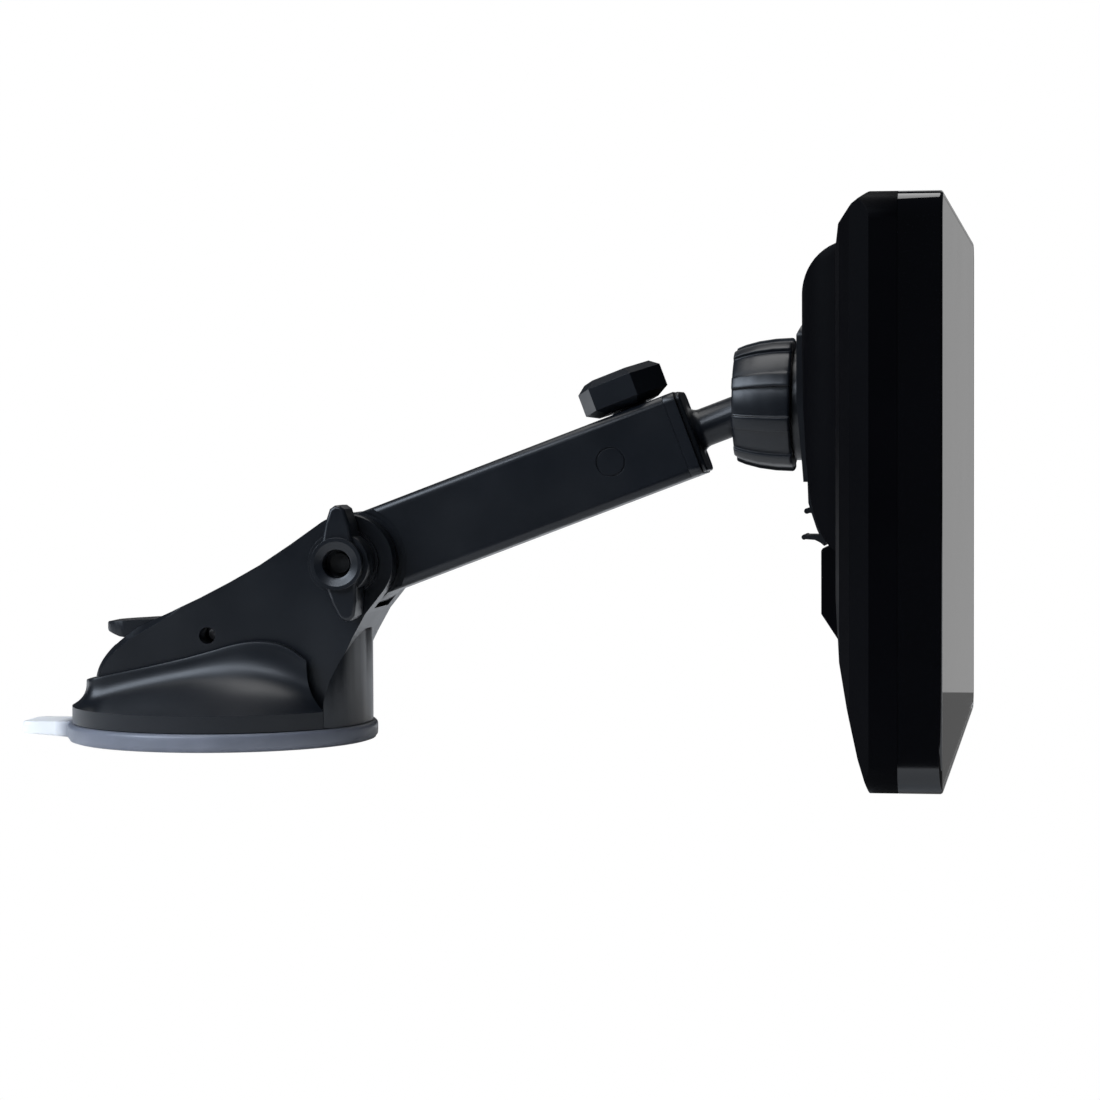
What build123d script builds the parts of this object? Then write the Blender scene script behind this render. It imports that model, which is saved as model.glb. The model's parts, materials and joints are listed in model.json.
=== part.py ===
"""Portable GPS navigator on a suction-cup mount: base, telescopic arm, ball head and 9-inch display.

Millimetres, +Z up.  The origin is the centre of the suction pad's face on the surface that it grips.
+X runs from the suction base towards the display, whose screen faces +X.
"""
import math
import os

from build123d import *

# ---- suction base ----
PAD_R = 40.0                  # gel pad that seals on the surface
PAD_BORE_R = 33.0             # pocket for the membrane
PAD_FACE = 1.0                # thickness of the gel under the pocket
PAD_H = 4.6
TAB_REACH = 52.2              # pull tab, measured from the cup axis
TAB_HALF_WIDTH = 8.0
TAB_LOW, TAB_HIGH = 1.3, 4.4
RIM_R = 38.7
RIM_TOP = 9.0
CORE_R = 33.9                 # disc of the housing inside the skirt
SKIRT_END = 31.7              # X of the skirt's two ends on the rim
WALL_TOP = 28.6               # top of the curved rear wall
CHEEK_OUT = 15.3              # half-width over the two cheeks
CHEEK_IN = 8.6                # half-width of the channel between them
CHEEK_R = 11.9                # round end of a cheek about the clamp bolt
LEDGE = 3.0                   # how far the fender stands out from the cheek
FLOOR_Z = 19.85               # track that the lever's cams run on
CUP_DROP = 3.0                # travel of the cup stem
PIN_Z = 27.5
PIN_R = 1.5
STEM_R = 3.4
FOOT_R = 5.0                  # flange of the stem inside the membrane
FOOT_Z = 4.4

# ---- lock lever ----
LEVER_HALF_WIDTH = 7.4
LEVER_SWING = 50.0            # degrees
CAM_R = 6.0
CAM_PHASE = 90.0 - LEVER_SWING / 2
CAM_OFFSET = CUP_DROP / 2 / math.cos(math.radians(CAM_PHASE))
FORK_GAP = 3.2                # half-gap between the two cams, around the stem

# ---- clamp between base and arm ----
PIVOT = (36.3, 46.3)          # X and Z of the clamp bolt
ARM_ANGLE = 20.6              # the arm's rise above +X
BOLT_R = 2.5
RUNNING = 0.08                # radial clearance of a pin in its bore
CLEAR = 0.3                   # gap between moving neighbours
KNUCKLE_HALF = CHEEK_IN - CLEAR
KNUCKLE_R = 12.2
SHOULDER_R = 13.0             # where the arm widens past the cheeks
WASHER_OUT = 16.4
HUB_R = 7.7
HUB_OUT = 27.0
WING_REACH = 14.6

# ---- arm, in its own frame: origin at the clamp bolt, +X along the arm ----
ARM_HALF_H = 10.85
ARM_HALF_W = 9.8
ARM_END = 88.7
COLLAR_END = 91.6
PLATE_END = 92.9
BALL_AT = 111.4
BALL_R = 8.5
NECK_R = 4.85
TUBE_WALL = 2.0
ROD_LOW, ROD_HIGH = -8.4, 3.6
ROD_HALF_W = 7.2
ROD_WALL = 2.0
ROD_START = 24.0
KNOB_AT = 79.05
KNOB_R = 11.4
KNOB_TURN = 53.0              # degrees from the arm to the knob's first corner
KNOB_LOW, KNOB_HIGH = 11.6, 20.8

# ---- ball head ----
BALL = (PIVOT[0] + BALL_AT * math.cos(math.radians(ARM_ANGLE)), 0.0,
        PIVOT[1] + BALL_AT * math.sin(math.radians(ARM_ANGLE)))
SLEEVE_IN, SLEEVE_OUT = BALL_R + RUNNING, 9.3
SEAT_R = SLEEVE_OUT + RUNNING  # spherical seats of the two rings
RING_R = 11.3
SEAT_BORE = 11.4              # bore of the socket
SOCKET_R = 12.7
SWING_CONE = 69.0             # half-angle of the way left for the neck
NUT_FRONT, NUT_BACK = 133.5, 148.2
NUT_R, NUT_FRONT_R = 16.8, 14.0
NUT_FLUTES = 9
FLUTE_HALF_ANGLE = 13.5         # degrees
SOCKET_FRONT = 137.4
FLANGE_R = 14.0
PLATE_X = 150.2               # outer face of the bracket plate
PLATE_HALF_W = 20.0
LUG_Y, LUG_NECK, LUG_HEAD = 14.0, 1.6, 3.2      # T-shaped lugs that the display slides down onto
LUG_X, LUG_Z = (155.6, 157.2), (70.0, 84.0)
TONGUE_HALF_W, PRONG_HALF_W = 9.0, 6.0

# ---- display ----
HALF_W = 110.0
HEIGHT = 131.0
CORNER_R = 6.0
REAR_X, WALL_X, SEAM_X, FRONT_X = 165.6, 173.4, 179.6, 189.3
SIDE_BEVEL = 10.0
SHELL = 2.0
BULGE_X = 153.0
GLASS_T = 1.1
LIP = 1.2                     # width of the frame's edge around the glass

PORTS_X = (WALL_X + SEAM_X) / 2
USB_Z, CARD_Z, JACK_Z, BUTTON_Z = 40.0, 58.0, 74.0, 104.0
JACK_R = 1.78
JACK_DEEP = 13.0
BUTTON_HALF = (2.2, 6.0)
BOARD_Y, BOARD_SCREW_Y, BOARD_SCREW_Z = (16, 86), (22, 80), (24, 116)
CASE_SCREWS = [(y, z) for y in (-94, 94) for z in (16, 116)]

CENTRE_MIN = (Align.CENTER, Align.CENTER, Align.MIN)
ARM_FRAME = Location((PIVOT[0], 0, PIVOT[1])) * Rotation(0, -ARM_ANGLE, 0)


def box(x, y, z):
    """Solid box from three (low, high) pairs."""
    size = (x[1] - x[0], y[1] - y[0], z[1] - z[0])
    return Pos(x[0], y[0], z[0]) * Box(*size, align=(Align.MIN,) * 3)


def cylinder_y(radius, x, z, y):
    """Cylinder along Y from y[0] to y[1]."""
    length = y[1] - y[0]
    return Pos(x, (y[0] + y[1]) / 2, z) * Rotation(90, 0, 0) * Cylinder(radius, length)


def cylinder_x(radius, y, z, x):
    """Cylinder along X from x[0] to x[1]."""
    length = x[1] - x[0]
    return Pos((x[0] + x[1]) / 2, y, z) * Rotation(0, 90, 0) * Cylinder(radius, length)


def cylinder_z(radius, x, y, z):
    """Cylinder along Z from z[0] to z[1]."""
    return Pos(x, y, z[0]) * Cylinder(radius, z[1] - z[0], align=CENTRE_MIN)


def side_slab(outline, y):
    """Extrude an outline of (x, z) points from y[0] to y[1]."""
    wire = Polyline([(px, y[0], pz) for px, pz in outline], close=True)
    return extrude(make_face(wire), amount=y[1] - y[0], dir=(0, 1, 0))


def plan_slab(outline, z):
    """Extrude an outline of (x, y) points from z[0] to z[1]."""
    wire = Polyline([(px, py, z[0]) for px, py in outline], close=True)
    return extrude(make_face(wire), amount=z[1] - z[0], dir=(0, 0, 1))


def turned_z(section):
    """Revolve (radius, z) points about the cup axis."""
    return revolve(make_face(Polyline([(r, 0, z) for r, z in section], close=True)), Axis.Z)


def turned_x(section):
    """Revolve (x, radius) points about the ball head's axis."""
    wire = Polyline([(x, 0, BALL[2] + r) for x, r in section], close=True)
    return revolve(make_face(wire), Axis((0, 0, BALL[2]), (1, 0, 0)))


def seat_ring(start, end, outer):
    """Ring around the ball, from start to end behind the ball centre, with a spherical seat inside."""
    def seat_point(offset):
        return (BALL[0] + offset, 0, BALL[2] + math.sqrt(SEAT_R**2 - offset**2))

    seat = ThreePointArc(seat_point(start), seat_point((start + end) / 2), seat_point(end))
    corners = [(BALL[0] + x, 0, BALL[2] + r) for x, r in outer]
    rim = Polyline([seat_point(end)] + corners + [seat_point(start)])
    return revolve(make_face([seat, rim]), Axis((0, 0, BALL[2]), (1, 0, 0)))


def ball(radius):
    return Pos(*BALL) * Sphere(radius)


def edges_at(part, axis, value, tolerance=0.05):
    """Edges whose whole length lies at one coordinate along an axis."""
    return part.edges().filter_by_position(axis, value - tolerance, value + tolerance)


# ---------------------------------------------------------------- suction base

def suction_pad():
    disc = cylinder_z(PAD_R, 0, 0, (0, PAD_H))
    disc = fillet(disc.edges(), 1.2)
    tab = box((-TAB_REACH, -PAD_R + 3), (-TAB_HALF_WIDTH, TAB_HALF_WIDTH), (TAB_LOW, TAB_HIGH))
    tip = edges_at(tab, Axis.X, -TAB_REACH).filter_by(Axis.Z)
    tab = fillet(tip, 3.0)
    return disc + tab - cylinder_z(PAD_BORE_R, 0, 0, (PAD_FACE, PAD_H + 1))


def suction_membrane():
    inner, outer = FOOT_R + CLEAR, PAD_BORE_R - 0.1
    low, high, thick = PAD_FACE + 0.05, FOOT_Z, 2.0
    return turned_z([(inner, high), (outer, low), (outer, low + thick), (inner, high + thick)])


def cup_stem():
    foot = turned_z([(0, FOOT_Z), (FOOT_R, FOOT_Z), (FOOT_R, FOOT_Z + 1.6), (STEM_R, FOOT_Z + 2.4),
                     (STEM_R, 19.2), (0, 19.2)])
    eye = box((-STEM_R, STEM_R), (-2.8, 2.8), (18.6, PIN_Z))
    eye += cylinder_y(STEM_R, 0, PIN_Z, (-2.8, 2.8))
    return foot + eye - cylinder_y(PIN_R, 0, PIN_Z, (-4, 4))


def lever_pin():
    return cylinder_y(PIN_R, 0, PIN_Z, (-LEVER_HALF_WIDTH - 0.6, LEVER_HALF_WIDTH + 0.6))


def lock_lever():
    """Fork with two eccentric cams and a flat thumb tab."""
    reach, corner = 29.9, 5.5
    outline = [(-reach, 28.7), (-29.0, 27.9), (-25.4, 26.6), (-14.0, 25.0), (0, 24.2),
               (3.4, 26.0), (3.4, 29.6), (0, 31.6), (-19.4, 31.0), (-29.0, 30.4), (-reach, 29.7)]
    lever = side_slab(outline, (-LEVER_HALF_WIDTH, LEVER_HALF_WIDTH))
    plan = box((-reach, 20), (-LEVER_HALF_WIDTH, LEVER_HALF_WIDTH), (20, 40))
    lever &= fillet(edges_at(plan, Axis.X, -reach).filter_by(Axis.Z), corner)
    phase = math.radians(CAM_PHASE)
    cam_x = -CAM_OFFSET * math.sin(phase)
    cam_z = PIN_Z - CAM_OFFSET * math.cos(phase)
    lever += cylinder_y(CAM_R, cam_x, cam_z, (-LEVER_HALF_WIDTH, LEVER_HALF_WIDTH))
    lever -= box((-11.0, 12), (-FORK_GAP, FORK_GAP), (10, 40))
    thumb_hollow = Pos(-23.5, 0, 37.7) * Sphere(7.4)
    return lever - thumb_hollow - cylinder_y(PIN_R + RUNNING, 0, PIN_Z, (-9, 9))


def trailing_edge():
    """Rear edge of the cheeks, from the round end down to the rim, as seen from the side."""
    return [(45.6, 38.8), (41.1, 33.2), (37.7, 27.1), (34.9, 21.4), (33.1, 16.9), (32.2, 13.6), (31.8, 11.5),
            (31.8, PAD_H)]


def cheek_outline():
    """Side view of the housing between its round end and the nose."""
    centre_x, centre_z = PIVOT
    top_tangent, rear_tangent = math.radians(122), math.radians(-34)
    top = [(-34.5, 23.0), (-9.8, 33.4), (-1.8, 37.1), (6.0, 41.1), (13.9, 45.5), (21.7, 50.6)]
    top.append((centre_x + CHEEK_R * math.cos(top_tangent), centre_z + CHEEK_R * math.sin(top_tangent)))
    end = (centre_x + CHEEK_R * math.cos(rear_tangent), centre_z + CHEEK_R * math.sin(rear_tangent))
    return top + [PIVOT, end] + trailing_edge() + [(-34.5, PAD_H)]


def nose_form():
    """Round nose about the cup axis, open towards +X."""
    curve = Spline((32.6, 0, 15.4), (31.7, 0, 19.0), (28.4, 0, 23.7), (22.2, 0, 28.9), (17.6, 0, 33.2),
                   (16.2, 0, 40.0))
    sides = Polyline((16.2, 0, 40.0), (0, 0, 40.0), (0, 0, PAD_H), (32.6, 0, PAD_H), (32.6, 0, 15.4))
    return revolve(make_face([curve, sides]), Axis.Z) + box((-1, 60), (-20, 20), (PAD_H, 70))


def base_housing():
    centre_x, centre_z = PIVOT
    body = side_slab(cheek_outline(), (-CHEEK_OUT, CHEEK_OUT))
    body += cylinder_y(CHEEK_R, centre_x, centre_z, (-CHEEK_OUT, CHEEK_OUT))
    body = (body & nose_form()) + cylinder_z(CORE_R, 0, 0, (PAD_H, RIM_TOP))
    wall = side_slab(trailing_edge()[2:] + [(39.0, PAD_H), (39.0, WALL_TOP), (38.4, WALL_TOP)], (-30, 30))
    body += wall & cylinder_z(RIM_R + 0.1, 0, 0, (PAD_H, 40))
    clear_round = cylinder_y(SHOULDER_R + CLEAR, centre_x, centre_z, (-CHEEK_IN, CHEEK_IN))
    channel = side_slab([(-40, 24.4), (-13.5, 24.4), (-13.5, FLOOR_Z), (13.0, FLOOR_Z),
                         (25.0, 37.0), (70, 37), (70, 90), (-40, 90)], (-CHEEK_IN, CHEEK_IN))
    web = side_slab([(24, 30), (39.0, WALL_TOP), (45.4, 38.2), (44.6, 39.0), (30, 39.0)],
                    (-CHEEK_IN, CHEEK_IN))
    body -= channel + clear_round - (web - clear_round)
    body -= cylinder_y(2.1, 0, PIN_Z, (-20, 20))
    body -= cylinder_y(BOLT_R + RUNNING, centre_x, centre_z, (-20, 20))
    eye_hole = STEM_R + 0.4
    body -= box((-eye_hole, eye_hole), (-FORK_GAP, FORK_GAP), (10, 30))
    body -= cylinder_z(eye_hole, 0, 0, (0, 30)) + cylinder_z(31.0, 0, 0, (0, 7.2))
    return body - box((-26, 20), (-CHEEK_IN, CHEEK_IN), (0, 17.6))


def fender_top():
    """Height of the fender's upper edge, as seen from the side."""
    return [(-40, 14.6), (-32.4, 16.0), (-23.8, 17.8), (-15.3, 19.6), (-5.2, 21.9), (2.1, 23.9),
            (6.5, 25.2), (11.5, 26.2), (16.6, 26.2), (20.9, 25.3), (24.2, 23.4), (25.9, 21.0), (26.6, 17.6),
            (26.9, 14.0), (27.8, 10.6), (29.4, 9.3), (SKIRT_END, RIM_TOP), (SKIRT_END, PAD_H), (-40, PAD_H)]


def base_skirt():
    """C-shaped skirt: rim band, concave flare and the fender along the cheeks."""
    flare = turned_z([(0, PAD_H), (RIM_R, PAD_H), (RIM_R, RIM_TOP), (37.6, 10.1), (36.6, 11.3),
                      (33.5, 11.9), (29.0, 12.6), (25.0, 13.8), (22.5, 16.0), (0, 16.0)])
    nose = turned_z([(0, PAD_H), (37.0, PAD_H), (36.8, 11.3), (36.0, 12.9), (35.2, 15.5), (34.6, 30),
                     (0, 30)])
    width = CHEEK_OUT + LEDGE
    block = box((-40, SKIRT_END), (-width, width), (PAD_H, 30)) & nose
    skirt = (flare + block) & side_slab(fender_top(), (-60, 60))
    gap = CHEEK_OUT + 0.05
    skirt -= box((-60, 60), (-gap, gap), (RIM_TOP, 60)) & nose_room()
    skirt -= box((20, 60), (-gap, gap), (0, 60))
    return skirt - cylinder_z(CORE_R + 0.05, 0, 0, (0, RIM_TOP + 0.05))


def nose_room():
    """Room for the nose inside the skirt."""
    return cylinder_z(32.75, 0, 0, (0, 60)) + box((-1, 60), (-20, 20), (0, 70))


# ---------------------------------------------------------------- clamp

def clamp_bolt():
    x, z = PIVOT
    shank = cylinder_y(BOLT_R, x, z, (-22.5, CHEEK_OUT))
    head = Pos(x, CHEEK_OUT, z) * Rotation(-90, 0, 0) * extrude(RegularPolygon(4.6, 6), amount=3.6)
    return shank + chamfer(head.faces().sort_by(Axis.Y)[-1].edges(), 0.5)


def clamp_washer():
    x, z = PIVOT
    ring = cylinder_y(8.4, x, z, (-WASHER_OUT, -CHEEK_OUT - 0.1))
    return ring - cylinder_y(BOLT_R + RUNNING, x, z, (-20, 0))


def wing_nut():
    x, z = PIVOT
    back, front = -WASHER_OUT - 0.2, -HUB_OUT
    nut = cylinder_y(HUB_R, x, z, (front + 2.4, back)) + cylinder_y(6.5, x, z, (front, back))
    wing = [(-5.4, 3.0), (-3.9, 5.8), (-3.1, 10.0), (-1.9, WING_REACH - 1.0), (-0.6, WING_REACH - 0.1),
            (0.6, WING_REACH - 0.1), (1.9, WING_REACH - 1.0), (3.1, 10.0), (3.9, 5.8), (5.4, 3.0)]
    for turn in (0, 170):
        blade = side_slab(wing, (front + 1.4, back))
        blade = fillet(blade.edges().group_by(Axis.Y)[0], 0.9)
        nut += Pos(x, 0, z) * Rotation(0, turn, 0) * blade
    dished = Pos(x, front + 0.35, z) * Rotation(90, 0, 0) * Cone(3.6, 5.6, 0.7)
    nut -= cylinder_y(3.6, x, z, (-30, -21.4)) + dished
    return nut - cylinder_y(BOLT_R + RUNNING, x, z, (-30, 0))


# ---------------------------------------------------------------- arm

def rounded_bar(x, half_w, low, high, radius):
    bar = box(x, (-half_w, half_w), (low, high))
    return fillet(bar.edges().filter_by(Axis.X), radius)


def arm_tube():
    body = rounded_bar((2, ARM_END), ARM_HALF_W, -ARM_HALF_H, ARM_HALF_H, 2.2)
    knuckle = cylinder_y(KNUCKLE_R, 0, 0, (-KNUCKLE_HALF, KNUCKLE_HALF))
    around = cylinder_y(SHOULDER_R, 0, 0, (-30, 30)) + box((-20, 5), (-30, 30), (-20, 20))
    around -= box((-40, 40), (-KNUCKLE_HALF, KNUCKLE_HALF), (-40, 40))
    lip = cylinder_y(SHOULDER_R + 1.3, 0, 0, (-30, 30)) - cylinder_y(SHOULDER_R, 0, 0, (-31, 31))
    lip -= box((-40, 40), (-ARM_HALF_W + 0.9, ARM_HALF_W - 0.9), (-40, 40))
    arm = body - around - lip + knuckle
    arm -= cylinder_y(BOLT_R + RUNNING, 0, 0, (-20, 20))
    cavity = ARM_HALF_W - TUBE_WALL
    arm -= box((20, 100), (-cavity, cavity), (-ARM_HALF_H + TUBE_WALL, ARM_HALF_H - TUBE_WALL))
    arm -= cylinder_z(BOLT_R + 0.3, KNOB_AT, 0, (5, 15))
    mark = cylinder_y(3.75, 71.1, 0, (-ARM_HALF_W - 1, -ARM_HALF_W + 0.25))
    mark -= cylinder_y(3.35, 71.1, 0, (-20, 0))
    return ARM_FRAME * (arm - mark)


def arm_end_collar():
    collar = rounded_bar((ARM_END + 0.05, COLLAR_END), ARM_HALF_W, -ARM_HALF_H, ARM_HALF_H, 2.2)
    hole = ROD_HALF_W + CLEAR
    collar -= box((80, 100), (-hole, hole), (ROD_LOW - CLEAR, ROD_HIGH + CLEAR))
    return ARM_FRAME * collar


def knob_nut():
    top = ARM_HALF_H - TUBE_WALL
    nut = box((KNOB_AT - 4, KNOB_AT + 4), (-4, 4), (top - 3.0, top))
    return ARM_FRAME * (nut - cylinder_z(BOLT_R + RUNNING, KNOB_AT, 0, (0, 20)))


def inner_rod():
    rod = rounded_bar((ROD_START, COLLAR_END + 0.1), ROD_HALF_W, ROD_LOW, ROD_HIGH, 0.8)
    room = ROD_HALF_W - ROD_WALL
    rod -= box((ROD_START - 1, 78), (-room, room), (ROD_LOW + ROD_WALL, ROD_HIGH - ROD_WALL))
    return ARM_FRAME * (rod - stem_bore())


def cylinder_along(radius, x, z=0):
    """Cylinder along the arm."""
    return cylinder_x(radius, 0, z, x)


def stem_bore():
    """Hole for the screw that joins the rod and the ball stem."""
    return cylinder_along(1.6, (70, 100), (ROD_LOW + ROD_HIGH) / 2)


def ball_stem():
    plate = rounded_bar((COLLAR_END + 0.1, PLATE_END), 7.8, -10.6, 10.6, 2.2)
    plate = fillet(edges_at(plate, Axis.X, PLATE_END), 0.5)
    neck = cylinder_along(NECK_R, (PLATE_END - 0.5, BALL_AT))
    flare = 2.4
    section = [(PLATE_END - 0.2, 0), (PLATE_END - 0.2, NECK_R + flare)]
    for degree in range(0, 91, 15):
        turn = math.radians(degree)
        section.append((PLATE_END + flare - flare * math.cos(turn), NECK_R + flare - flare * math.sin(turn)))
    section.append((PLATE_END + flare, 0))
    root = revolve(make_face(Polyline([(x, 0, r) for x, r in section], close=True)), Axis.X)
    stem = plate + neck + root + Pos(BALL_AT, 0, 0) * Sphere(BALL_R)
    return ARM_FRAME * (stem - stem_bore())


def stem_screw():
    z = (ROD_LOW + ROD_HIGH) / 2
    return ARM_FRAME * (cylinder_along(1.6, (78, 99), z) + cylinder_along(3.0, (75.6, 78), z))


def knob_pad():
    pad = box((KNOB_AT - 9, KNOB_AT + 9), (-6, 6), (ROD_HIGH + 0.15, ROD_HIGH + 1.35))
    return ARM_FRAME * pad


def thumb_knob():
    """Hexagonal thumb knob with wide chamfers above and below."""
    height = KNOB_HIGH - KNOB_LOW
    lower, upper = 1.7, height - 1.8
    sections = [(8.2, 0.0), (KNOB_R, lower), (KNOB_R, upper), (9.0, height)]
    knob = None
    for (low_r, low), (high_r, high) in zip(sections, sections[1:]):
        layer = loft([Pos(0, 0, low) * RegularPolygon(low_r, 6), Pos(0, 0, high) * RegularPolygon(high_r, 6)])
        knob = layer if knob is None else knob + layer
    knob = Pos(KNOB_AT, 0, KNOB_LOW) * Rotation(0, 0, KNOB_TURN) * knob
    knob += cylinder_z(4.6, KNOB_AT, 0, (ARM_HALF_H + CLEAR, KNOB_LOW + 1))
    return ARM_FRAME * (knob - cylinder_z(BOLT_R, KNOB_AT, 0, (5, KNOB_LOW + 6)))


def knob_screw():
    return ARM_FRAME * cylinder_z(BOLT_R, KNOB_AT, 0, (ROD_HIGH + 1.5, KNOB_LOW + 6))


# ---------------------------------------------------------------- ball head

def swing_cone(direction, half_angle):
    """Cone from the ball centre, opening along a direction in the XZ plane."""
    length = 14.0
    cone = Cone(0.001, length * math.tan(math.radians(half_angle)), length, align=CENTRE_MIN)
    plane = Plane(origin=BALL, x_dir=(0, 1, 0), z_dir=direction)
    return plane.location * cone


def ball_sleeve():
    turn = math.radians(ARM_ANGLE)
    neck_way = swing_cone((-math.cos(turn), 0, -math.sin(turn)), SWING_CONE - 3)
    return ball(SLEEVE_OUT) - ball(SLEEVE_IN) - neck_way


def front_clamp_ring():
    return seat_ring(-3.3, -0.4, [(-0.4, RING_R), (-1.4, RING_R), (-3.3, 9.8)])


def rear_seat_ring():
    return seat_ring(0.4, 7.6, [(7.6, RING_R), (0.4, RING_R)])


def collar_nut():
    """Screw collar whose ribs and flutes run over its whole curved side."""
    side = [(NUT_FRONT, NUT_FRONT_R), (NUT_FRONT + 0.4, NUT_FRONT_R + 0.35), (135.8, 15.1), (139.2, 16.0),
            (143.4, 16.6), (NUT_BACK - 0.5, NUT_R), (NUT_BACK, NUT_R - 0.5)]
    floor = [(x, r - 0.95) for x, r in side]
    nut = turned_x(side + [(NUT_BACK, 0), (NUT_FRONT, 0)])
    skin = turned_x([(x, r + 3) for x, r in side] + floor[::-1])
    spread = 20 * math.tan(math.radians(FLUTE_HALF_ANGLE))
    for step in range(NUT_FLUTES):
        wire = Polyline([(130, 0, 0), (130, -20, spread), (130, -20, -spread)], close=True)
        wedge = extrude(make_face(wire), amount=20, dir=(1, 0, 0))
        nut -= Pos(0, 0, BALL[2]) * Rotation(360 / NUT_FLUTES * step - 2, 0, 0) * wedge & skin
    x = BALL[0]
    thread = SOCKET_R + CLEAR
    bore = turned_x([(x - 10, 0), (x - 10, 12.0), (NUT_FRONT, 10.7), (x - 3.7, 8.6), (x - 3.7, 10.0),
                     (SOCKET_FRONT - 0.4, thread), (NUT_BACK + 1, thread), (NUT_BACK + 1, 0)])
    return nut - bore


def mount_bracket():
    """Socket for the ball, on a plate that hooks into the back of the display."""
    outer = [(PLATE_X + 1.2, 104.8), (PLATE_X, 102.4), (PLATE_X, 86.0), (PLATE_X + 1.1, 74.0),
             (PLATE_X + 1.7, 66.4)]
    inner = [(154.1, 66.4), (153.7, 74.0), (153.0, 88.0), (152.7, 104.8)]
    bracket = side_slab(outer + inner, (-PLATE_HALF_W, PLATE_HALF_W))
    bracket = fillet(bracket.edges().filter_by(Axis.X).group_by(Axis.Z)[-1], 3.0)
    for y in (-LUG_Y, LUG_Y):
        bracket += box((151.8, LUG_X[1]), (y - LUG_NECK, y + LUG_NECK), LUG_Z)
        bracket += box(LUG_X, (y - LUG_HEAD, y + LUG_HEAD), LUG_Z)
    bracket += cylinder_x(FLANGE_R, 0, BALL[2], (148.6, PLATE_X + 0.8))
    bracket += cylinder_x(SOCKET_R, 0, BALL[2], (SOCKET_FRONT, 149.0))
    bracket -= cylinder_x(SEAT_BORE, 0, BALL[2], (130, BALL[0] + 7.7))
    return bracket - Pos(*BALL) * Rotation(0, 90, 0) * Sphere(SEAT_R + CLEAR)


def release_tab():
    """Springy tongue with two finger prongs, rooted in the plate's lower edge."""
    outer = [(152.0, 66.3), (152.2, 61.0), (152.8, 59.0), (154.3, 54.5), (155.9, 51.0)]
    inner = [(156.6, 51.3), (155.5, 55.0), (154.0, 59.4), (153.4, 61.2), (153.2, 66.3)]
    tab = side_slab(outer + inner, (-TONGUE_HALF_W, TONGUE_HALF_W))
    prong = (-PRONG_HALF_W, PRONG_HALF_W)
    tab += box((151.4, 153.2), prong, (58.4, 59.4)) + cylinder_y(0.7, 151.6, 58.9, prong)
    lower_prong = [(150.9, 52.9), (150.9, 51.9), (153.6, 51.7), (155.0, 51.0), (155.9, 50.2),
                   (156.3, 51.8), (155.0, 52.9)]
    tab += side_slab(lower_prong, prong)
    return tab + cylinder_y(0.65, 150.9, 52.4, prong)


# ---------------------------------------------------------------- display

def rear_form(inset, front_x):
    """Outer form of the rear shell, shrunk by an inset."""
    bevel_x, rear_x = WALL_X + inset / 2, REAR_X + inset
    side = [(front_x, inset), (bevel_x, inset), (170.9 + inset, 7.8 + inset), (168.4 + inset, 18.7),
            (166.6 + inset, 28.4), (rear_x, 42.5), (rear_x, 119.0), (166.4 + inset, 124.1 - inset / 2),
            (169.5 + inset, 128.2 - inset), (bevel_x, HEIGHT - inset), (front_x, HEIGHT - inset)]
    edge = HALF_W - inset
    plan = [(front_x, edge), (bevel_x, edge), (169.0 + inset, edge - 3.2), (166.6 + inset, edge - 6.4),
            (rear_x, edge - SIDE_BEVEL)]
    plan += [(x, -y) for x, y in reversed(plan)]
    form = side_slab(side, (-HALF_W, HALF_W)) & plan_slab(plan, (0, HEIGHT))
    return form & face_prism(inset, (150, front_x))


def face_prism(inset, x):
    """Rounded rectangle of the display's outline, extruded along X."""
    prism = box(x, (-HALF_W + inset, HALF_W - inset), (inset, HEIGHT - inset))
    return fillet(prism.edges().filter_by(Axis.X), CORNER_R - inset / 2)


def bulge_form():
    """Hump behind the display that the bracket hooks into, and the pad below it."""
    foot_x, top_z = REAR_X + 0.4, 124.0
    back = Polyline([(BULGE_X, 0, 110.5), (153.1, 0, 96.0), (153.5, 0, 84.0), (154.2, 0, 72.0),
                     (154.8, 0, 67.0)])
    crown = ThreePointArc((foot_x, 0, top_z), (156.8, 0, 120.0), (BULGE_X, 0, 110.5))
    belly = Spline((154.8, 0, 67.0), (156.0, 0, 60.0), (157.6, 0, 55.5), (159.6, 0, 52.2), (166.0, 0, 50.2))
    root = Line((166.0, 0, 50.2), (foot_x, 0, top_z))
    hump = extrude(make_face([back, crown, belly, root]), amount=60, both=True, dir=(0, 1, 0))
    flank = Spline((BULGE_X, 37, 20), (153.7, 39.6, 20), (155.4, 42.0, 20), (158.2, 44.0, 20),
                   (166.4, 46.5, 20))
    across = Polyline((166.4, 46.5, 20), (166.4, 0, 20), (BULGE_X, 0, 20), (BULGE_X, 37, 20))
    half = extrude(make_face([flank, across]), amount=HEIGHT, dir=(0, 0, 1))
    pad = side_slab([(166.0, 52.0), (157.4, 50.6), (157.0, 50.0), (157.0, 34.7), (166.0, 21.0)], (-30, 30))
    return (hump & (half + half.mirror(Plane.XZ))) + pad


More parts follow.
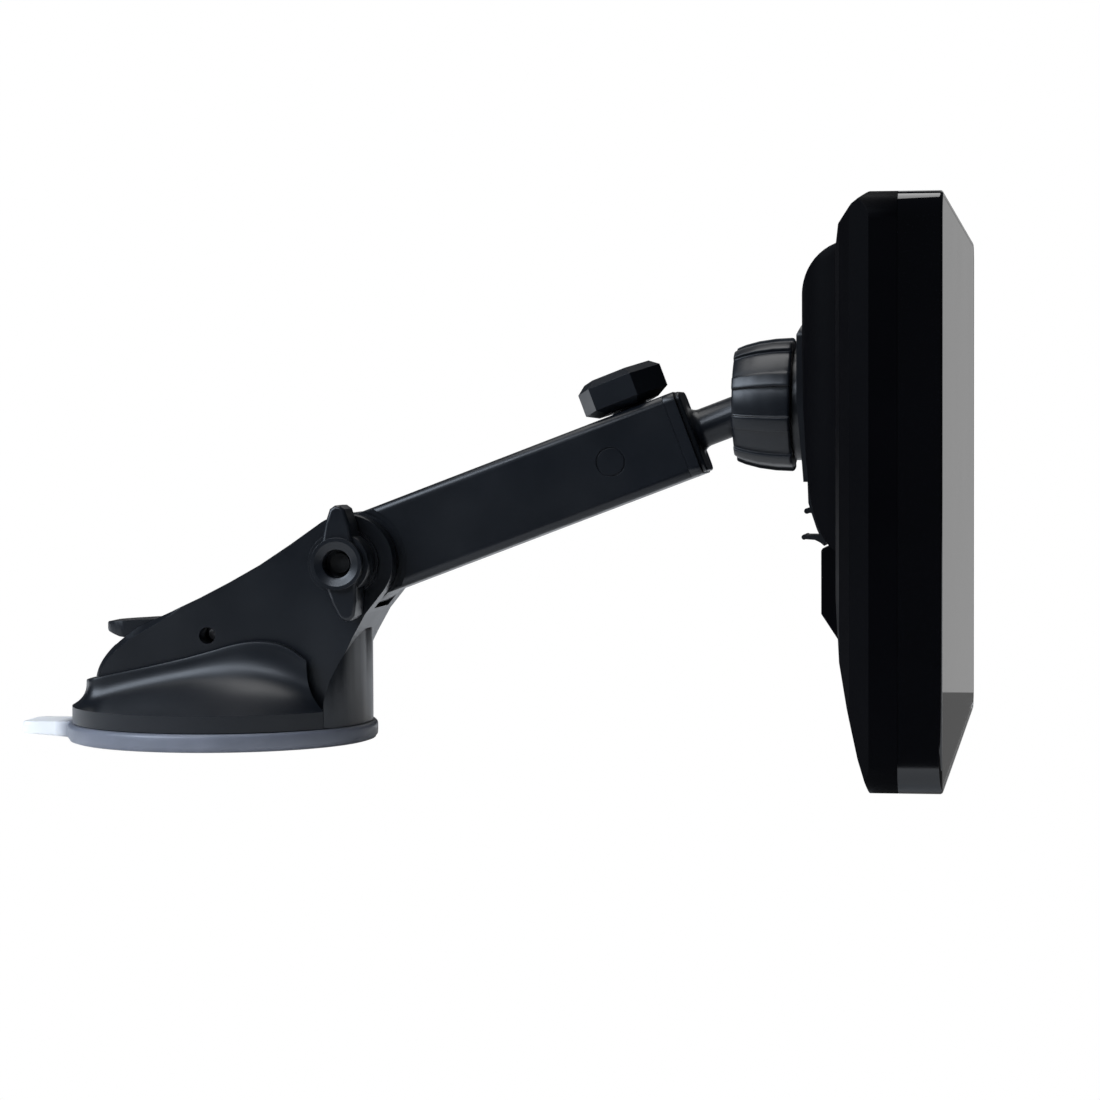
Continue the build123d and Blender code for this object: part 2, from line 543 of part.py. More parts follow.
def rear_shell():
    shell = rear_form(0, SEAM_X) + bulge_form()
    hollow = rear_form(SHELL, SEAM_X + 1)
    shell -= hollow
    hump_room = side_slab([(157.5, 108), (159.4, 104), (160.4, 66), (170, 66), (170, 116), (161.0, 116)],
                          (-34, 34))
    low, high = LUG_Z
    for y in (-LUG_Y, LUG_Y):
        neck, head = LUG_NECK + CLEAR, LUG_HEAD + CLEAR
        shell -= box((150, LUG_X[1]), (y - neck, y + neck), (50, high + CLEAR))
        shell -= box((LUG_X[0] - CLEAR, LUG_X[1] + CLEAR), (y - head, y + head), (20, high + CLEAR))
    shell -= hump_room
    shell -= port_cuts()
    for y, z in CASE_SCREWS:
        shell += cylinder_x(4.2, y, z, (160, 176)) & rear_form(0.5, SEAM_X)
        shell -= cylinder_x(2.9, y, z, (160, screw_seat(z)))
        shell -= cylinder_x(1.3, y, z, (160, 177))
    for row in range(6):
        shell -= box((160, 170), (62, 84), (60 + 4 * row, 61.8 + 4 * row))
    return shell


def screw_seat(z):
    """X of the face that a case screw's head sits on; the lower bevel starts further forward."""
    return 168.6 if z > HEIGHT / 2 else 171.2


def port_cuts():
    """Holes in the +Y wall for the sockets and the power button."""
    wall = (HALF_W - SHELL - 3, HALF_W + 1)
    cuts = box((PORTS_X - 1.5, PORTS_X + 1.5), wall, (USB_Z - 4.0, USB_Z + 4.0))
    cuts += box((PORTS_X - 0.8, PORTS_X + 0.8), wall, (CARD_Z - 6.0, CARD_Z + 6.0))
    cuts += cylinder_y(3.0, PORTS_X, JACK_Z, wall)
    half_x, half_z = BUTTON_HALF
    return cuts + box((PORTS_X - half_x - CLEAR, PORTS_X + half_x + CLEAR), wall,
                      (BUTTON_Z - half_z - CLEAR, BUTTON_Z + half_z + CLEAR))


def front_frame():
    frame = face_prism(0, (SEAM_X + 0.05, FRONT_X))
    frame = fillet(edges_at(frame, Axis.X, FRONT_X), 0.7)
    frame -= face_prism(LIP, (FRONT_X - GLASS_T - 0.1, FRONT_X + 1))
    frame -= box((170, 200), (-HALF_W + 5, HALF_W - 5), (5, HEIGHT - 5))
    for y, z in CASE_SCREWS:
        edge = math.copysign(HALF_W - 4.5, y)
        frame += box((176.2, 181.4), tuple(sorted((y - math.copysign(3.5, y), edge))), (z - 3.5, z + 3.5))
        frame -= cylinder_x(1.3, y, z, (170, 180.5))
    return frame


def front_glass():
    return face_prism(LIP + 0.05, (FRONT_X - GLASS_T - 0.05, FRONT_X - 0.05))


def screen_gasket():
    x = (FRONT_X - GLASS_T - 0.75, FRONT_X - GLASS_T - 0.1)
    ring = box(x, (-104.5, 104.5), (5.6, HEIGHT - 5.6))
    return ring - box((150, 200), (-100.5, 100.5), (9.5, HEIGHT - 9.5))


def lcd_panel():
    return box((FRONT_X - 3.7, FRONT_X - 2.0), (-104, 104), (6, HEIGHT - 6))


def backlight_frame():
    tray = box((181.6, FRONT_X - 3.8), (-104.4, 104.4), (5.6, HEIGHT - 5.6))
    return tray - box((182.6, 190), (-102, 102), (8, HEIGHT - 8))


def main_board():
    board = box((175.6, 177.2), BOARD_Y, (18, 122))
    for y in BOARD_SCREW_Y:
        for z in BOARD_SCREW_Z:
            board -= cylinder_x(1.2, y, z, (170, 180))
    return board


def board_shields():
    return box((173.2, 175.5), (34, 62), (70, 112)) + box((173.2, 175.5), (66, 84), (84, 112))


def board_screws():
    screws = []
    for y in BOARD_SCREW_Y:
        for z in BOARD_SCREW_Z:
            screws.append(cylinder_x(1.1, y, z, (175.6, 180.6)) + cylinder_x(2.1, y, z, (174.3, 175.6)))
    return Compound(children=screws)


def battery():
    cell = box((170.6, 176.4), (-72, 8), (40, 96))
    return fillet(cell.edges().filter_by(Axis.Z), 2.6)


def speaker():
    cone = cylinder_x(13.0, 73, 42, (169.6, 174.4))
    return cone + cylinder_x(8.0, 73, 42, (174.4, 175.5))


def gps_antenna():
    return box((171.0, 175.5), (-24, 1), (99, 124))


def usb_socket():
    shell = box((PORTS_X - 1.45, PORTS_X + 1.45), (HALF_W - 7.0, HALF_W - 0.7), (USB_Z - 3.9, USB_Z + 3.9))
    shell -= box((PORTS_X - 1.0, PORTS_X + 1.0), (HALF_W - 6.0, HALF_W), (USB_Z - 3.4, USB_Z + 3.4))
    tongue = box((PORTS_X - 0.3, PORTS_X + 0.3), (HALF_W - 6.5, HALF_W - 2.0), (USB_Z - 2.6, USB_Z + 2.6))
    return shell + tongue


def card_socket():
    shell = box((PORTS_X - 0.75, PORTS_X + 0.75), (HALF_W - 16, HALF_W - 2.2), (CARD_Z - 5.9, CARD_Z + 5.9))
    return shell - box((PORTS_X - 0.45, PORTS_X + 0.45), (HALF_W - 15, HALF_W), (CARD_Z - 5.5, CARD_Z + 5.5))


def audio_jack():
    barrel = cylinder_y(2.9, PORTS_X, JACK_Z, (HALF_W - JACK_DEEP - 1.2, HALF_W - 0.2))
    return barrel - cylinder_y(JACK_R, PORTS_X, JACK_Z, (HALF_W - JACK_DEEP - 0.2, HALF_W + 1))


def power_button():
    half_x, half_z = BUTTON_HALF
    cap = box((PORTS_X - half_x, PORTS_X + half_x), (HALF_W - 2.4, HALF_W - 0.1),
              (BUTTON_Z - half_z, BUTTON_Z + half_z))
    return fillet(cap.edges().filter_by(Axis.Y), 1.9)


def case_screws():
    screws = []
    for y, z in CASE_SCREWS:
        seat = screw_seat(z)
        screw = cylinder_x(2.4, y, z, (seat - 1.4, seat)) + cylinder_x(1.3, y, z, (seat, 180.5))
        screws.append(screw - box((seat - 2, seat - 0.8), (y - 1.6, y + 1.6), (z - 0.3, z + 0.3)))
    return Compound(children=screws)


NODES = (suction_pad, suction_membrane, cup_stem, lever_pin, lock_lever, base_housing, base_skirt,
         clamp_bolt, clamp_washer, wing_nut, arm_tube, arm_end_collar, knob_nut, inner_rod, ball_stem,
         stem_screw, knob_pad, thumb_knob, knob_screw, ball_sleeve, front_clamp_ring, rear_seat_ring,
         collar_nut, mount_bracket, release_tab, rear_shell, front_frame, front_glass, screen_gasket,
         lcd_panel, backlight_frame, main_board, board_shields, board_screws, battery, speaker,
         gps_antenna, usb_socket, card_socket, audio_jack, power_button, case_screws)


def main():
    os.makedirs("parts", exist_ok=True)
    for node in NODES:
        export_step(node(), f"parts/{node.__name__}.step")


main()
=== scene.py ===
"""Looks of the portable GPS navigator: materials, soft meshes, light and camera around the CAD frame."""
import json
import math

import bmesh
import bpy
from mathutils import Matrix, Vector

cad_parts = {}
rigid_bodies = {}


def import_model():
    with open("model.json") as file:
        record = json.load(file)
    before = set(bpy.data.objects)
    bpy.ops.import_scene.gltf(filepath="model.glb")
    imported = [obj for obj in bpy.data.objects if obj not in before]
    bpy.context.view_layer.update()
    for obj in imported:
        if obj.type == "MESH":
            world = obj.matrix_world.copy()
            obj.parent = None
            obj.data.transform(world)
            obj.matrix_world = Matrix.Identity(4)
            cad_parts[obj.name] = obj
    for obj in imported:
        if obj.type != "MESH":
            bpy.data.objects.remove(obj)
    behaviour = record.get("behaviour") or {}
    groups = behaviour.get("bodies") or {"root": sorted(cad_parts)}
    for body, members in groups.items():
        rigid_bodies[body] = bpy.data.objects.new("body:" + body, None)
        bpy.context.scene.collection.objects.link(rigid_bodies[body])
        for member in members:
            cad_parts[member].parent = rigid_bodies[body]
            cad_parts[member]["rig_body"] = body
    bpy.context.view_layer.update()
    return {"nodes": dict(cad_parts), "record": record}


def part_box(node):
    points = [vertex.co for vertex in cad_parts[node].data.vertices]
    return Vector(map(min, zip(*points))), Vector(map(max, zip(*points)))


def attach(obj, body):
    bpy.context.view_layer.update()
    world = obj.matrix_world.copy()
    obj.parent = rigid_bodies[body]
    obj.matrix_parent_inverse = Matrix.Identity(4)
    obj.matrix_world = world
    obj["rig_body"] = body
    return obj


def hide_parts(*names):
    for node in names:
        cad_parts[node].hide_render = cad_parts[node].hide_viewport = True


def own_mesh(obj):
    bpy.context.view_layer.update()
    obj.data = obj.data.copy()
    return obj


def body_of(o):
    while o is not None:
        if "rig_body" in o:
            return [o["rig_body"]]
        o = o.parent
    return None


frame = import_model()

MM = 0.001

# ---- camera ----
CAMERA_AT = (0.2174, -0.8070, 0.0811)
CAMERA_AZIMUTH, CAMERA_DOWN, CAMERA_ROLL = 9.26, 2.26, -0.25    # degrees
SENSOR, LENS = 36.0, 105.41

# ---- stage ----
FLOOR_GLOW, CARD_GLOW, CARD_FOOT_GLOW = 0.10, 0.31, 0.10
FLOOR = (-1.2, 1.4, -0.17, 2.2)     # left, right, front and back, in metres
CARD = (0.1900, 0.22, 0.16, 0.60)   # near and far X, Y and top Z, in metres

# ---- suction base, in mm ----
PAD_R, PAD_TOP, POCKET = 40.0, 4.6, 1.0
TAB_HALF, TAB_ROUND, TAB_LOW, TAB_HIGH = 8.0, 3.0, 1.3, 4.4
TAB_PALE_FROM, TAB_PALE_TO = 0.039, 0.043      # metres from the cup axis
TAB_SPREAD, TAB_RISE = 1.35, 2.0               # how far round the tab reaches, and its step onto the pad
MEMBRANE_INNER, MEMBRANE_THICK = 5.3, 2.0
RIPPLES, RIPPLE_HIGH = 9, 0.22
RIM_R, RIM_TOP = 38.7, 9.0
CORE_SIDE = 33.95
CHEEK_SIDE, LEDGE_SIDE = 15.35, 18.3
NOSE_IN, NOSE_OUT, NOSE_BLEND = 32.75, 35.0, 2.5
EDGE_ROUND = 0.45
TINY, TINY_SINE = 1e-6, 0.02                   # keep divisions finite
SHARP_ANGLE = 40                               # degrees
SKIRT_FROM = 34.6                              # degrees from +X to the skirt's ends
FLARE_POWER = 2.9
FENDER = [(-40, 14.6), (-32.4, 16.0), (-23.8, 17.8), (-15.3, 19.6), (-5.2, 21.9), (2.1, 23.9), (6.5, 25.2),
          (11.5, 26.2), (16.6, 26.2), (20.9, 25.3), (24.2, 23.4), (25.9, 22.0), (27.2, 21.0)]


def make_camera():
    a, p, r = (math.radians(v) for v in (CAMERA_AZIMUTH, CAMERA_DOWN, CAMERA_ROLL))
    forward = Vector((-math.sin(a) * math.cos(p), math.cos(a) * math.cos(p), -math.sin(p)))
    level = Vector((math.cos(a), math.sin(a), 0))
    upright = level.cross(forward)
    right = math.cos(r) * level + math.sin(r) * upright
    up = right.cross(forward)
    data = bpy.data.cameras.new("camera")
    data.sensor_width, data.lens = SENSOR, LENS
    data.clip_start, data.clip_end = 0.05, 50
    camera = bpy.data.objects.new("camera", data)
    basis = Matrix((right, up, -forward)).transposed()
    camera.matrix_world = Matrix.Translation(CAMERA_AT) @ basis.to_4x4()
    bpy.context.scene.collection.objects.link(camera)
    bpy.context.scene.camera = camera


# ---------------------------------------------------------------- light and stage

def make_world():
    """White to the camera, and a dim bluish fill to everything else."""
    world = bpy.data.worlds.new("studio")
    bpy.context.scene.world = world
    world.use_nodes = True
    nodes, links = world.node_tree.nodes, world.node_tree.links
    nodes.clear()
    out = nodes.new("ShaderNodeOutputWorld")
    mix = nodes.new("ShaderNodeMixShader")
    path = nodes.new("ShaderNodeLightPath")
    dim, white = nodes.new("ShaderNodeBackground"), nodes.new("ShaderNodeBackground")
    dim.inputs["Color"].default_value = (0.78, 0.86, 1.0, 1)
    dim.inputs["Strength"].default_value = 0.03
    white.inputs["Color"].default_value = (1, 1, 1, 1)
    white.inputs["Strength"].default_value = 1.0
    links.new(path.outputs["Is Camera Ray"], mix.inputs[0])
    links.new(dim.outputs[0], mix.inputs[1])
    links.new(white.outputs[0], mix.inputs[2])
    links.new(mix.outputs[0], out.inputs[0])


def area_light(name, at, look, size, power, color=(1, 1, 1)):
    data = bpy.data.lights.new(name, "AREA")
    data.shape = "RECTANGLE"
    data.size, data.size_y = size
    data.energy, data.color = power, color
    light = bpy.data.objects.new(name, data)
    light.location = at
    light.rotation_euler = (Vector(look) - Vector(at)).to_track_quat("-Z", "Y").to_euler()
    bpy.context.scene.collection.objects.link(light)


def flat_stage(name, corners, bright, camera_bright, albedo=0.9):
    """Four-cornered piece of the stage that glows evenly, and glows differently to the camera."""
    mesh = bpy.data.meshes.new(name)
    mesh.from_pydata(corners, [], [(0, 1, 2, 3)])
    piece = bpy.data.objects.new(name, mesh)
    bpy.context.scene.collection.objects.link(piece)
    material = bpy.data.materials.new(name)
    material.use_nodes = True
    nodes, links = material.node_tree.nodes, material.node_tree.links
    shader = nodes["Principled BSDF"]
    shader.inputs["Base Color"].default_value = (albedo, albedo, albedo, 1)
    shader.inputs["Roughness"].default_value = 0.9
    shader.inputs["Specular IOR Level"].default_value = 0.0
    shader.inputs["Emission Color"].default_value = (1, 1, 1, 1)
    shader.inputs["Emission Strength"].default_value = bright
    glow, path, mix = (nodes.new("ShaderNode" + kind) for kind in ("Emission", "LightPath", "MixShader"))
    glow.inputs["Strength"].default_value = camera_bright
    links.new(path.outputs["Is Camera Ray"], mix.inputs[0])
    links.new(shader.outputs[0], mix.inputs[1])
    links.new(glow.outputs[0], mix.inputs[2])
    links.new(mix.outputs[0], nodes["Material Output"].inputs["Surface"])
    mesh.materials.append(material)
    return piece


def make_stage():
    """White floor, and a grey card beyond the screen that the glass mirrors, with a dark foot."""
    left, right, front, back = FLOOR
    under = -0.0002
    corners = [(left, front, under), (right, front, under), (right, back, under), (left, back, under)]
    flat_stage("floor", corners, FLOOR_GLOW, 1.0)
    near, far, y, top = CARD
    upright = [(near, y, 0.0), (far, y, 0.0), (far, y, top), (near, y, top)]
    card = flat_stage("card", upright, CARD_GLOW, 1.0, 0.0)
    card.visible_camera = False
    foot = [(near, -y, 0.0001), (far, -y, 0.0001), (far, y, 0.0001), (near, y, 0.0001)]
    strip = flat_stage("card_foot", foot, CARD_FOOT_GLOW, 1.0, 0.0)
    strip.visible_camera = False


# ---------------------------------------------------------------- materials

def new_material(name):
    material = bpy.data.materials.new(name)
    material.use_nodes = True
    return material, material.node_tree, material.node_tree.nodes["Principled BSDF"]


def noise(tree, scale, detail=2.0, stretch=(1, 1, 1)):
    """Noise in object space, with a stretch along each axis."""
    place = tree.nodes.new("ShaderNodeTexCoord")
    mapping = tree.nodes.new("ShaderNodeMapping")
    mapping.inputs["Scale"].default_value = stretch
    tree.links.new(place.outputs["Object"], mapping.inputs["Vector"])
    texture = tree.nodes.new("ShaderNodeTexNoise")
    texture.inputs["Scale"].default_value = scale
    texture.inputs["Detail"].default_value = detail
    tree.links.new(mapping.outputs[0], texture.inputs["Vector"])
    return texture.outputs["Fac"]


def ramp(tree, value, low, high):
    """Colour ramp from one colour to another."""
    node = tree.nodes.new("ShaderNodeValToRGB")
    node.color_ramp.elements[0].color = (*low, 1)
    node.color_ramp.elements[1].color = (*high, 1)
    node.color_ramp.elements[0].position = 0.3
    node.color_ramp.elements[1].position = 0.7
    tree.links.new(value, node.inputs[0])
    return node.outputs[0]


def spread(tree, value, low, high):
    """Map a 0 to 1 value to a range."""
    node = tree.nodes.new("ShaderNodeMapRange")
    node.inputs["From Min"].default_value = 0.3
    node.inputs["From Max"].default_value = 0.7
    node.inputs["To Min"].default_value = low
    node.inputs["To Max"].default_value = high
    tree.links.new(value, node.inputs["Value"])
    return node.outputs["Result"]


def bump(tree, value, strength, distance):
    node = tree.nodes.new("ShaderNodeBump")
    node.inputs["Strength"].default_value = strength
    node.inputs["Distance"].default_value = distance
    tree.links.new(value, node.inputs["Height"])
    return node.outputs[0]


def plastic(name, dark, light, rough, grain=2600.0, depth=0.00002, strength=0.25, specular=0.5, coat=0.0):
    """Moulded plastic: slight colour drift, fine spark-eroded grain and uneven gloss."""
    material, tree, shader = new_material(name)
    tree.links.new(ramp(tree, noise(tree, 26.0, 3.0), dark, light), shader.inputs["Base Color"])
    tree.links.new(spread(tree, noise(tree, 60.0, 4.0), *rough), shader.inputs["Roughness"])
    tree.links.new(bump(tree, noise(tree, grain, 2.0), strength, depth), shader.inputs["Normal"])
    shader.inputs["Specular IOR Level"].default_value = specular
    shader.inputs["Coat Weight"].default_value = coat
    shader.inputs["Coat Roughness"].default_value = 0.04
    return material


def metal(name, dark, light, rough, stretch=(1, 1, 1)):
    material, tree, shader = new_material(name)
    tree.links.new(ramp(tree, noise(tree, 300.0, 3.0, stretch), dark, light), shader.inputs["Base Color"])
    tree.links.new(spread(tree, noise(tree, 500.0, 3.0, stretch), *rough), shader.inputs["Roughness"])
    tree.links.new(bump(tree, noise(tree, 2000.0, 2.0, stretch), 0.2, 0.00001), shader.inputs["Normal"])
    shader.inputs["Metallic"].default_value = 1.0
    return material


def gel():
    """Clear grey polyurethane gel, paler where the thin pull tab lets light through."""
    material, tree, shader = new_material("gel_pad")
    pad = ramp(tree, noise(tree, 90.0, 3.0), (0.15, 0.16, 0.19), (0.19, 0.20, 0.235))
    tab = ramp(tree, noise(tree, 90.0, 3.0), (0.95, 0.95, 0.95), (0.98, 0.98, 0.98))
    place, axes = tree.nodes.new("ShaderNodeTexCoord"), tree.nodes.new("ShaderNodeSeparateXYZ")
    tree.links.new(place.outputs["Object"], axes.inputs[0])
    along = tree.nodes.new("ShaderNodeMapRange")
    along.inputs["From Min"].default_value = -TAB_PALE_FROM
    along.inputs["From Max"].default_value = -TAB_PALE_TO
    tree.links.new(axes.outputs["X"], along.inputs["Value"])
    mix = tree.nodes.new("ShaderNodeMix")
    mix.data_type = "RGBA"
    tree.links.new(along.outputs["Result"], mix.inputs["Factor"])
    tree.links.new(pad, mix.inputs["A"])
    tree.links.new(tab, mix.inputs["B"])
    tree.links.new(mix.outputs["Result"], shader.inputs["Base Color"])
    tree.links.new(spread(tree, noise(tree, 150.0, 3.0), 0.30, 0.42), shader.inputs["Roughness"])
    tree.links.new(bump(tree, noise(tree, 900.0, 2.0), 0.15, 0.00003), shader.inputs["Normal"])
    shader.inputs["Subsurface Weight"].default_value = 0.4
    shader.inputs["Subsurface Radius"].default_value = (0.006, 0.006, 0.007)
    shader.inputs["Subsurface Scale"].default_value = 0.5
    return material


def screen_glass():
    material, tree, shader = new_material("screen_glass")
    tree.links.new(ramp(tree, noise(tree, 8.0, 2.0), (0.010, 0.011, 0.013), (0.013, 0.014, 0.017)),
                   shader.inputs["Base Color"])
    tree.links.new(spread(tree, noise(tree, 30.0, 3.0), 0.05, 0.08), shader.inputs["Roughness"])
    shader.inputs["Specular IOR Level"].default_value = 0.6
    shader.inputs["Coat Weight"].default_value = 0.5
    shader.inputs["Coat Roughness"].default_value = 0.03
    return material


def make_materials():
    satin = plastic("satin_plastic", (0.0040, 0.0054, 0.0080), (0.0054, 0.0073, 0.0108), (0.30, 0.38))
    return {
        "gel": gel(),
        "membrane": plastic("membrane", (0.02, 0.02, 0.022), (0.03, 0.03, 0.032), (0.5, 0.7)),
        "satin_plastic": satin,
        "dark_plastic": plastic("dark_plastic", (0.004, 0.005, 0.007), (0.006, 0.007, 0.009), (0.30, 0.40)),
        "shell_plastic": plastic("shell_plastic", (0.0012, 0.0012, 0.0018), (0.0018, 0.0018, 0.0028),
                                 (0.42, 0.52), strength=0.4, specular=0.05),
        "gloss_frame": plastic("gloss_frame", (0.001, 0.001, 0.0015), (0.002, 0.002, 0.003), (0.05, 0.08),
                               strength=0.02, coat=0.6),
        "nylon": plastic("nylon", (0.14, 0.14, 0.15), (0.18, 0.18, 0.19), (0.35, 0.5)),
        "screen_glass": screen_glass(),
        "steel": metal("steel", (0.45, 0.45, 0.46), (0.60, 0.60, 0.61), (0.25, 0.4)),
        "black_steel": metal("black_steel", (0.03, 0.03, 0.03), (0.06, 0.06, 0.06), (0.3, 0.45)),
        "brass": metal("brass", (0.55, 0.38, 0.14), (0.72, 0.52, 0.22), (0.25, 0.4)),
        "lcd": plastic("lcd", (0.004, 0.004, 0.006), (0.006, 0.006, 0.008), (0.2, 0.3)),
        "white_tray": plastic("white_tray", (0.7, 0.7, 0.68), (0.8, 0.8, 0.78), (0.4, 0.5)),
        "circuit_board": plastic("circuit_board", (0.005, 0.06, 0.03), (0.012, 0.10, 0.05), (0.3, 0.45),
                                 grain=700.0),
        "cell_foil": metal("cell_foil", (0.5, 0.5, 0.52), (0.62, 0.62, 0.64), (0.3, 0.5)),
        "ceramic": plastic("ceramic", (0.6, 0.52, 0.38), (0.68, 0.60, 0.45), (0.5, 0.6)),
        "foam": plastic("foam", (0.01, 0.01, 0.01), (0.02, 0.02, 0.02), (0.8, 0.9)),
    }


MATERIALS = make_materials()
SLOT_OF = {row["node"]: row["material_slot"] for row in frame["record"]["subparts"]}
BODY_OF = {name: body_of(node)[0] for name, node in frame["nodes"].items()}
BEVELS = {"base_housing": 0.35, "arm_tube": 0.25, "arm_end_collar": 0.25, "ball_stem": 0.2,
          "collar_nut": 0.3, "thumb_knob": 0.35, "wing_nut": 0.4, "lock_lever": 0.4, "mount_bracket": 0.25,
          "release_tab": 0.2, "rear_shell": 0.35}


def finish_node(name, node):
    """Give a carried-over CAD node its material, and softened edges where they show."""
    node.data.materials.clear()
    node.data.materials.append(MATERIALS[SLOT_OF[name]])
    weld = node.modifiers.new("weld", "WELD")
    weld.merge_threshold = 0.000002
    if name in BEVELS:
        edge = node.modifiers.new("edge", "BEVEL")
        edge.width = BEVELS[name] * MM
        edge.segments = 3
        edge.limit_method = "ANGLE"
        edge.angle_limit = math.radians(28)
        edge.use_clamp_overlap = True
        edge.harden_normals = True


# ---------------------------------------------------------------- meshes built here

def ring_mesh(name, rings, stations, form):
    """Closed mesh through rings of points; ring(angle) gives (radius, z) in mm at a plan angle.

    form is "disc" where the first and last rings are capped, "band" where the section closes on itself all
    the way round, and "arc" for such a section with two capped ends.
    """
    mesh = bmesh.new()
    grid = []
    for ring in rings:
        row = []
        for angle in stations:
            radius, z = ring(angle)
            row.append(mesh.verts.new((radius * math.cos(angle) * MM, radius * math.sin(angle) * MM, z * MM)))
        grid.append(row)
    steps = len(stations)
    last = steps - 1 if form == "arc" else steps
    pairs = list(zip(grid, grid[1:]))
    if form == "disc":
        mesh.faces.new(list(reversed(grid[0])))
        mesh.faces.new(grid[-1])
    else:
        pairs.append((grid[-1], grid[0]))
    if form == "arc":
        mesh.faces.new([row[0] for row in grid])
        mesh.faces.new([row[-1] for row in reversed(grid)])
    for low, high in pairs:
        for i in range(last):
            j = (i + 1) % steps
            mesh.faces.new((low[i], low[j], high[j], high[i]))
    bmesh.ops.recalc_face_normals(mesh, faces=mesh.faces)
    data = bpy.data.meshes.new(name)
    mesh.to_mesh(data)
    mesh.free()
    piece = bpy.data.objects.new(name, data)
    bpy.context.scene.collection.objects.link(piece)
    data.shade_smooth()
    sharp = piece.modifiers.new("edges", "EDGE_SPLIT")
    sharp.split_angle = math.radians(SHARP_ANGLE)
    return piece


def stand_in(piece, node):
    """Let a piece take a CAD node's place, body and finish."""
    piece.data.materials.append(MATERIALS[SLOT_OF[node]])
    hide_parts(node)
    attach(piece, BODY_OF[node])
    return piece


def gel_pad():
    """Round gel pad with a pull tab, its edges rounded and its top hollow for the membrane."""
    low, high = (v / MM for v in (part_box("suction_pad")[0].z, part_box("suction_pad")[1].z))
    reach = -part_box("suction_pad")[0].x / MM

    def outline(angle):
        across = abs(math.sin(angle))
        if math.cos(angle) > 0 or across * reach > TAB_HALF * TAB_SPREAD:
            return PAD_R
        tip = min(reach / abs(math.cos(angle)), TAB_HALF / max(across, TINY))
        round_off = max(0.0, tip * across - (TAB_HALF - TAB_ROUND))
        tip -= TAB_ROUND - math.sqrt(max(TAB_ROUND**2 - round_off**2, 0.0))
        return max(PAD_R, tip)

    def tabbed(inset, z_pad, z_tab):
        def ring(angle):
            radius = outline(angle)
            on_tab = min(1.0, (radius - PAD_R) / TAB_RISE)
            return radius - inset, z_pad + (z_tab - z_pad) * on_tab
        return ring

    def plain(radius, z):
        return lambda angle: (radius, z)

    underside = [plain(20, low), plain(38.6, low), plain(39.4, low + 0.25)]
    side = [tabbed(0.45, low + 0.6, TAB_LOW), tabbed(0.1, low + 1.0, TAB_LOW + 0.3),
            tabbed(0.0, low + 1.6, TAB_LOW + 0.9), tabbed(0.0, high - 1.0, TAB_HIGH - 0.9),
            tabbed(0.15, high - 0.5, TAB_HIGH - 0.3), tabbed(0.5, high - 0.15, TAB_HIGH)]
    top = [plain(39.2, high - 0.02), plain(38.2, high), plain(33.4, high)]
    hollow = [plain(33.0, high - 0.4), plain(33.0, POCKET), plain(32.6, POCKET - 0.05),
              plain(18, POCKET - 0.05)]
    rings = underside + side + top + hollow
    fine = [math.radians(a) for a in range(0, 360, 3) if not 165 <= a <= 195]
    fine += [math.radians(165 + 0.5 * k) for k in range(61)]
    return stand_in(ring_mesh("gel_pad", rings, sorted(fine), "disc"), "suction_pad")


def membrane():
    """Rubber diaphragm between the stem's flange and the pad, with its moulded ripples."""
    box_low, box_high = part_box("suction_membrane")
    low, high = box_low.z / MM, box_high.z / MM
    outer, inner = box_high.x / MM, MEMBRANE_INNER
    height = high - MEMBRANE_THICK - low

    def at(share, lift):
        radius = outer + (inner - outer) * share
        swell = math.sin(share * math.pi)
        ripple = RIPPLE_HIGH * math.sin(share * RIPPLES * math.pi) ** 2 * swell
        return lambda angle: (radius, low + min(height * share + ripple, height) + lift)

    count = 36
    under = [at(k / count, 0.0) for k in range(count + 1)]
    over = [at(k / count, MEMBRANE_THICK) for k in range(count, -1, -1)]
    whole = [math.radians(a) for a in range(0, 360, 4)]
    piece = ring_mesh("suction_diaphragm", under + over, whole, "band")
    stand_in(piece, "suction_membrane")
    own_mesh(piece)


def between(table, x):
    """Straight-line reading of a table of (x, value) pairs, level beyond its ends."""
    if x <= table[0][0]:
        return table[0][1]
    for (x0, v0), (x1, v1) in zip(table, table[1:]):
        if x <= x1:
            return v0 + (v1 - v0) * (x - x0) / (x1 - x0)
    return table[-1][1]


def soft_least(a, b, blend):
    """The lesser of two lengths, rounded off where they cross."""
    gap = max(blend - abs(a - b), 0.0) / blend
    return min(a, b) - gap * gap * blend / 4


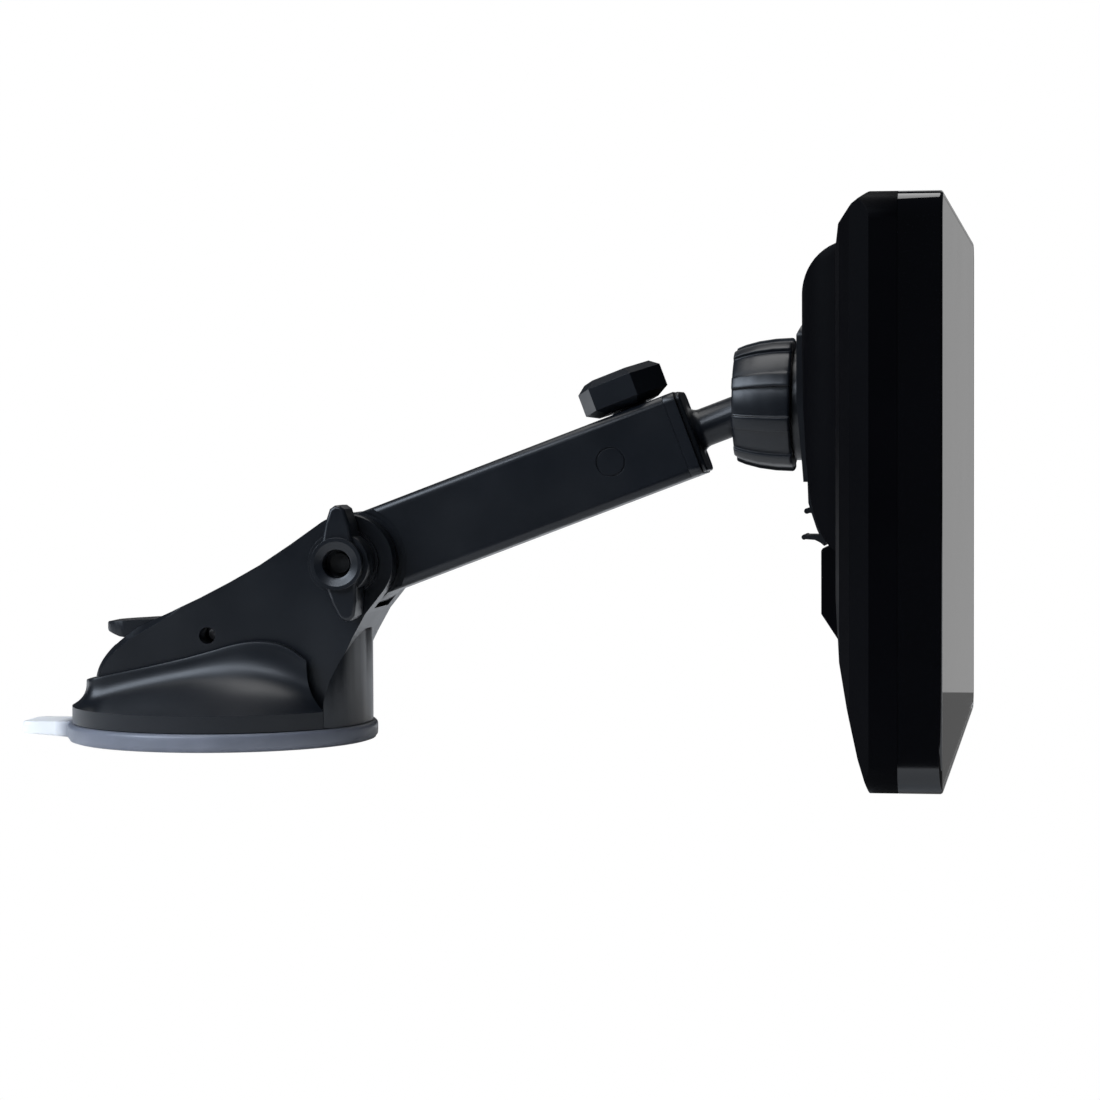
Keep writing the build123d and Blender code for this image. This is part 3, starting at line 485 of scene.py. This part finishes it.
def skirt():
    """Skirt whose wall sweeps from the ledge along the cheeks out to the rim in one concave flare."""
    def plan(angle, half_width, nose):
        return soft_least(half_width / max(abs(math.sin(angle)), TINY_SINE), nose, NOSE_BLEND)

    def crest(angle, radius):
        x = radius * math.cos(angle)
        return sum(between(FENDER, x + d) for d in (-1.5, 0, 1.5)) / 3

    def ledge_in(angle):
        radius = plan(angle, CHEEK_SIDE, NOSE_IN)
        return radius, crest(angle, radius)

    def ledge_out(inset, drop):
        def ring(angle):
            radius = plan(angle, LEDGE_SIDE, NOSE_OUT)
            return radius - inset, crest(angle, radius) - drop
        return ring

    def flare(share):
        def ring(angle):
            start = plan(angle, LEDGE_SIDE, NOSE_OUT)
            top = crest(angle, start) - EDGE_ROUND
            z = top + (RIM_TOP - top) * share
            return start + (RIM_R - start) * share ** FLARE_POWER, z
        return ring

    def ledge_foot(angle):
        return plan(angle, CHEEK_SIDE, NOSE_IN), RIM_TOP + 0.2

    def upright(radius, z):
        return lambda angle: (radius, z)

    shares = [0.0, 0.08, 0.2, 0.35, 0.5, 0.62, 0.72, 0.8, 0.86, 0.91, 0.95, 0.98, 1.0]
    rings = [upright(CORE_SIDE, PAD_TOP), upright(RIM_R - 0.2, PAD_TOP), upright(RIM_R, PAD_TOP + 0.2),
             upright(RIM_R, RIM_TOP - EDGE_ROUND)]
    rings += [flare(share) for share in reversed(shares)]
    rings += [ledge_out(0.12, 0.12), ledge_out(EDGE_ROUND, 0.0), ledge_in]
    rings += [ledge_foot, upright(CORE_SIDE, RIM_TOP + 0.05)]
    steps = 160
    stations = [math.radians(SKIRT_FROM + (360 - 2 * SKIRT_FROM) * k / steps) for k in range(steps + 1)]
    return stand_in(ring_mesh("skirt", rings, stations, "arc"), "base_skirt")


def main():
    bpy.context.scene.view_settings.view_transform = "Standard"
    make_camera()
    make_world()
    make_stage()
    area_light("top_softbox", (-0.05, 0.05, 1.0), (0.06, 0, 0.05), (0.9, 0.5), 4.0)
    area_light("left_softbox", (-0.9, -0.75, 0.75), (0.0, 0, 0.02), (0.8, 0.8), 16.0, (0.76, 0.86, 1.0))
    area_light("front_strip", (-0.25, -1.0, 0.75), (0.1, 0, 0.06), (0.5, 0.12), 3.0, (0.80, 0.88, 1.0))
    area_light("back_softbox", (0.0, 1.2, 0.7), (0.05, 0, 0.05), (1.2, 0.5), 1.0)
    for name, node in frame["nodes"].items():
        finish_node(name, node)
    gel_pad()
    membrane()
    skirt()


main()
